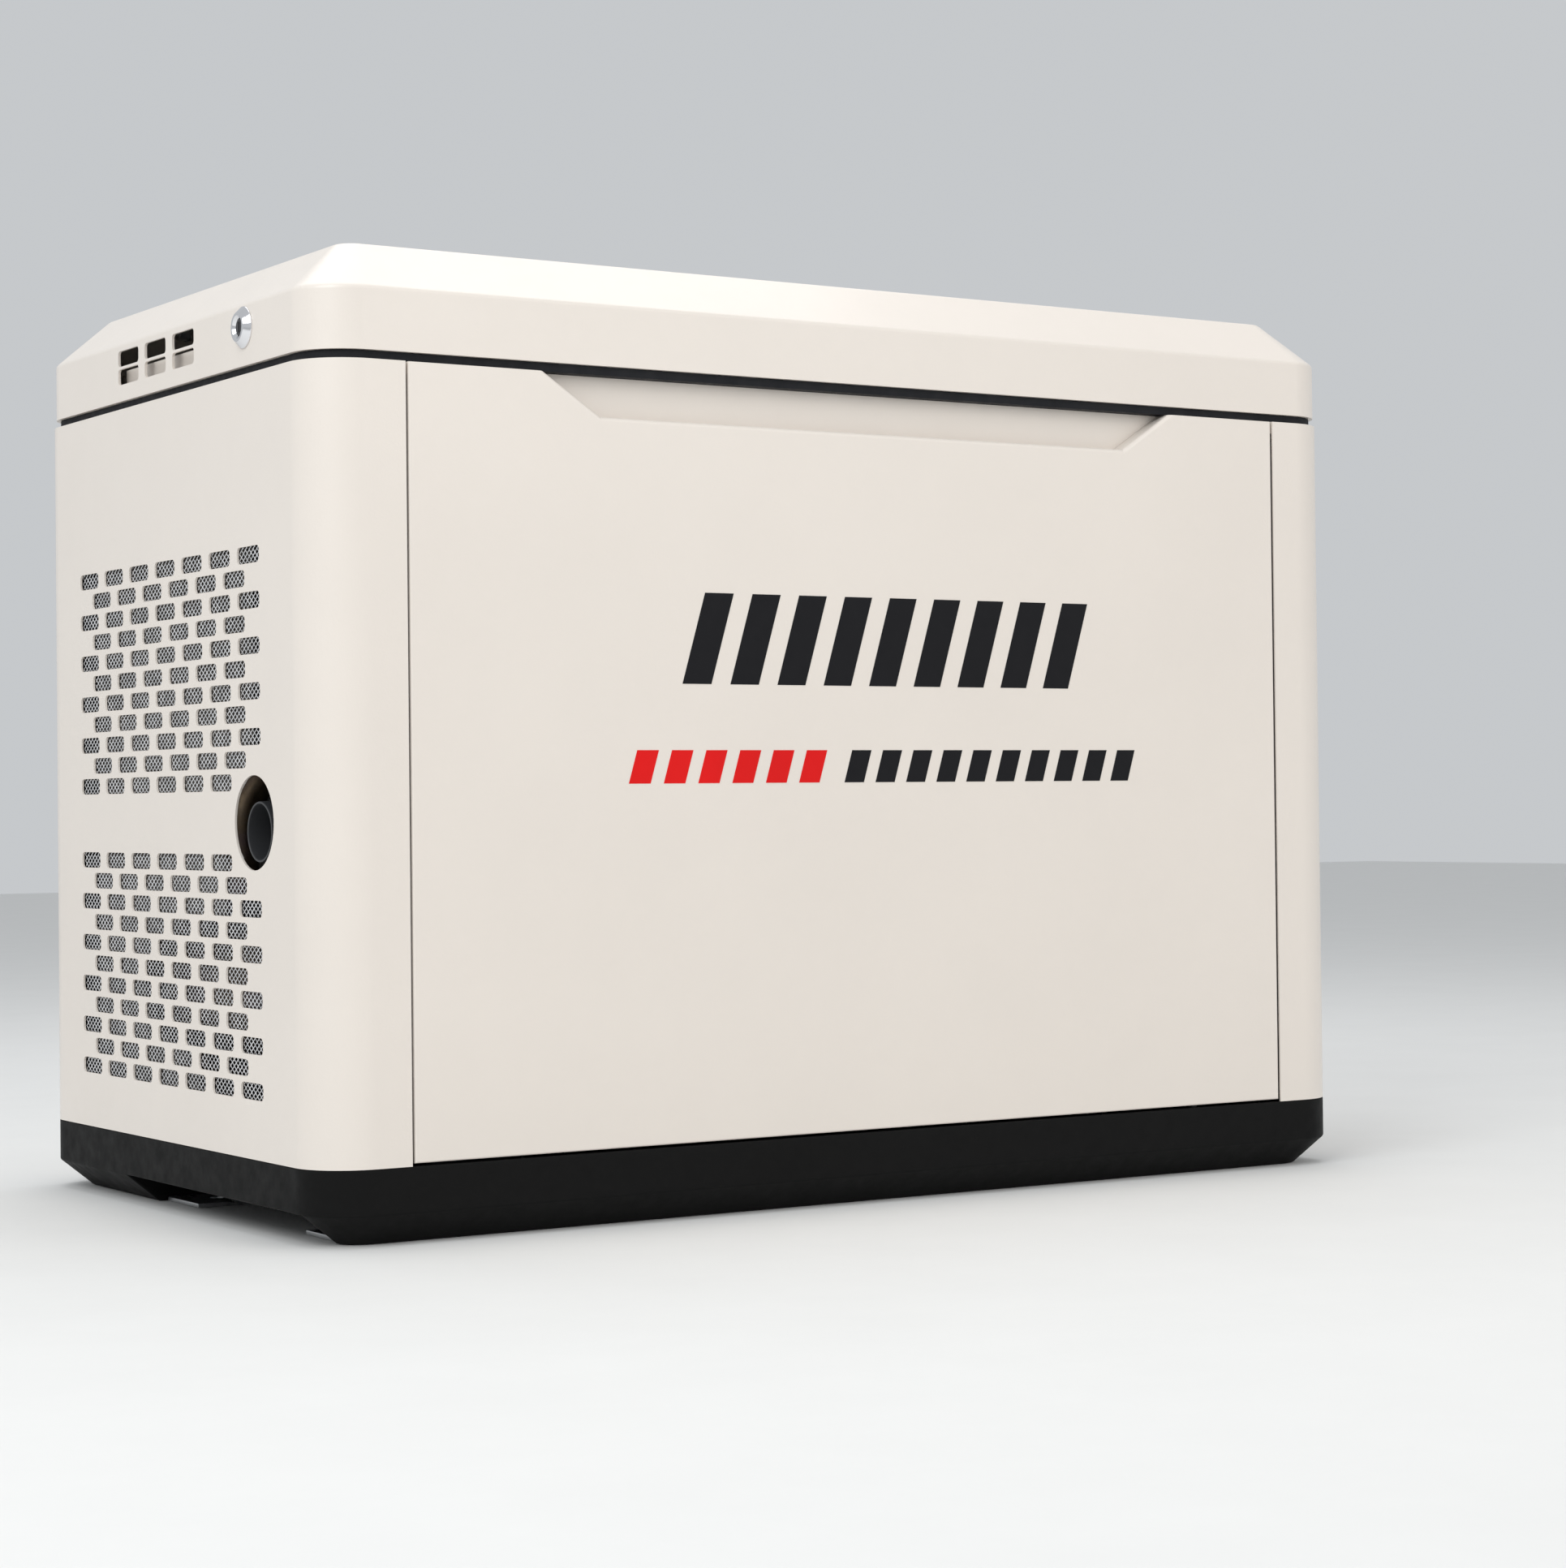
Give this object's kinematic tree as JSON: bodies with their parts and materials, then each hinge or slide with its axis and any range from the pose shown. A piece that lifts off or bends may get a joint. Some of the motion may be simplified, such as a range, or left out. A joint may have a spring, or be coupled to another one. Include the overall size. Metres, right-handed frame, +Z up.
{
  "type": "home standby generator",
  "caption": "Standby generator in a box housing: hinged bevelled lid, lift-off front door with hand recess, slotted end panels, V-twin gas engine with alternator.",
  "frame": {"origin": "centre of the footprint at ground level", "axes": "+X along the length, away from the exhaust end; +Y from the service door to the hinged back; +Z up"},
  "size_m": [1.16, 0.67, 0.8663],
  "materials": {
    "cream_paint": "satin powder coat",
    "black_plastic": "satin",
    "black_rubber": "matt",
    "chrome": "polished",
    "zinc_steel": "zinc plated",
    "dark_steel": "satin",
    "cast_aluminium": "as cast",
    "mesh_steel": "galvanised",
    "exhaust_steel": "heat tinted",
    "winding_copper": "varnished",
    "fitting_brass": "machined",
    "grey_plastic": "satin",
    "display_glass": "gloss",
    "red_plastic": "gloss",
    "green_plastic": "gloss",
    "white_ceramic": "gloss",
    "filter_orange": "gloss",
    "rubber_hose": "matt"
  },
  "bodies": {
    "enclosure": {"base_tray": "black_plastic", "anchor_brackets": "zinc_steel", "left_end_panel": "cream_paint", "right_end_panel": "cream_paint", "back_panel": "cream_paint", "top_frame": "cream_paint", "corner_posts": "dark_steel", "rim_gasket": "black_rubber", "left_mesh": "mesh_steel", "right_mesh": "mesh_steel", "body_hinge_leaves": "zinc_steel", "hinge_pins": "zinc_steel", "strike_plates": "zinc_steel", "prop_catch": "zinc_steel", "engine_partition": "dark_steel", "control_partition": "dark_steel", "engine_cradle": "dark_steel", "vibration_mounts": "black_rubber", "crankcase": "cast_aluminium", "cylinders": "cast_aluminium", "cylinder_heads": "cast_aluminium", "valve_covers": "dark_steel", "spark_plugs": "white_ceramic", "fan_shroud": "dark_steel", "alternator_stator": "winding_copper", "alternator_housing": "cast_aluminium", "rear_bearing": "chrome", "intake_mixer": "cast_aluminium", "air_cleaner": "grey_plastic", "oil_filter": "filter_orange", "starter_motor": "dark_steel", "exhaust_headers": "exhaust_steel", "muffler": "exhaust_steel", "tail_pipe": "dark_steel", "gas_inlet": "fitting_brass", "gas_regulator": "cast_aluminium", "fuel_hose": "rubber_hose", "control_box": "grey_plastic", "control_display": "display_glass", "main_breaker": "grey_plastic", "battery": "black_plastic", "battery_clamp": "zinc_steel"},
    "lid": {"lid": "cream_paint", "lid_baffles": "cream_paint", "lid_hinge_leaves": "zinc_steel", "lock_housings": "chrome", "prop_brackets": "zinc_steel"},
    "left_lock": {"left_lock_cam": "zinc_steel"},
    "right_lock": {"right_lock_cam": "zinc_steel"},
    "prop": {"prop_rod": "zinc_steel"},
    "door": {"front_door": "cream_paint"},
    "crank": {"crankshaft": "zinc_steel", "flywheel_fan": "cast_aluminium", "alternator_rotor": "dark_steel"},
    "auto_switch": {"auto_button": "green_plastic"},
    "off_switch": {"off_button": "grey_plastic"},
    "start_switch": {"start_button": "green_plastic"},
    "stop_switch": {"emergency_stop": "red_plastic"},
    "fuel_selector": {"fuel_selector_knob": "black_plastic"},
    "breaker_toggle": {"breaker_lever": "black_plastic"}
  },
  "joints": [
    {"name": "lid_hinge", "type": "hinge", "parent": "enclosure", "child": "lid", "pos_m": [0, 0.33, 0.763], "axis": [-1, 0, 0], "range_deg": [0, 70]},
    {"name": "prop_rod_pivot", "type": "hinge", "parent": "lid", "child": "prop", "pos_m": [-0.505, 0.12, 0.8403], "axis": [1, 0, 0], "range_deg": [0, 104.18]},
    {"name": "left_lock_turn", "type": "hinge", "parent": "lid", "child": "left_lock", "pos_m": [-0.573, -0.1835, 0.801], "axis": [-1, 0, 0], "range_deg": [0, 90]},
    {"name": "right_lock_turn", "type": "hinge", "parent": "lid", "child": "right_lock", "pos_m": [0.573, -0.1835, 0.801], "axis": [-1, 0, 0], "range_deg": [0, 90]},
    {"name": "door_lift_off", "type": "slide", "parent": "enclosure", "child": "door", "axis": [0, -1, 0], "range_m": [0, 0.35]},
    {"name": "crank_spin", "type": "hinge", "parent": "enclosure", "child": "crank", "pos_m": [0, -0.005, 0.25], "axis": [1, 0, 0], "continuous": true},
    {"name": "auto_button_press", "type": "slide", "parent": "enclosure", "child": "auto_switch", "axis": [0, 1, 0], "range_m": [0, 0.0015], "stiffness_N_per_m": 400, "springref_m": -0.0005},
    {"name": "off_button_press", "type": "slide", "parent": "enclosure", "child": "off_switch", "axis": [0, 1, 0], "range_m": [0, 0.0015], "stiffness_N_per_m": 400, "springref_m": -0.0005},
    {"name": "start_button_press", "type": "slide", "parent": "enclosure", "child": "start_switch", "axis": [0, 1, 0], "range_m": [0, 0.0015], "stiffness_N_per_m": 400, "springref_m": -0.0005},
    {"name": "emergency_stop_press", "type": "slide", "parent": "enclosure", "child": "stop_switch", "axis": [0, 1, 0], "range_m": [0, 0.004]},
    {"name": "fuel_selector_turn", "type": "hinge", "parent": "enclosure", "child": "fuel_selector", "pos_m": [0.395, -0.27, 0.498], "axis": [0, -1, 0], "range_deg": [-45, 45]},
    {"name": "breaker_toggle_turn", "type": "hinge", "parent": "enclosure", "child": "breaker_toggle", "pos_m": [0.495, -0.276, 0.524], "axis": [1, 0, 0], "range_deg": [-28, 28]}
  ]
}
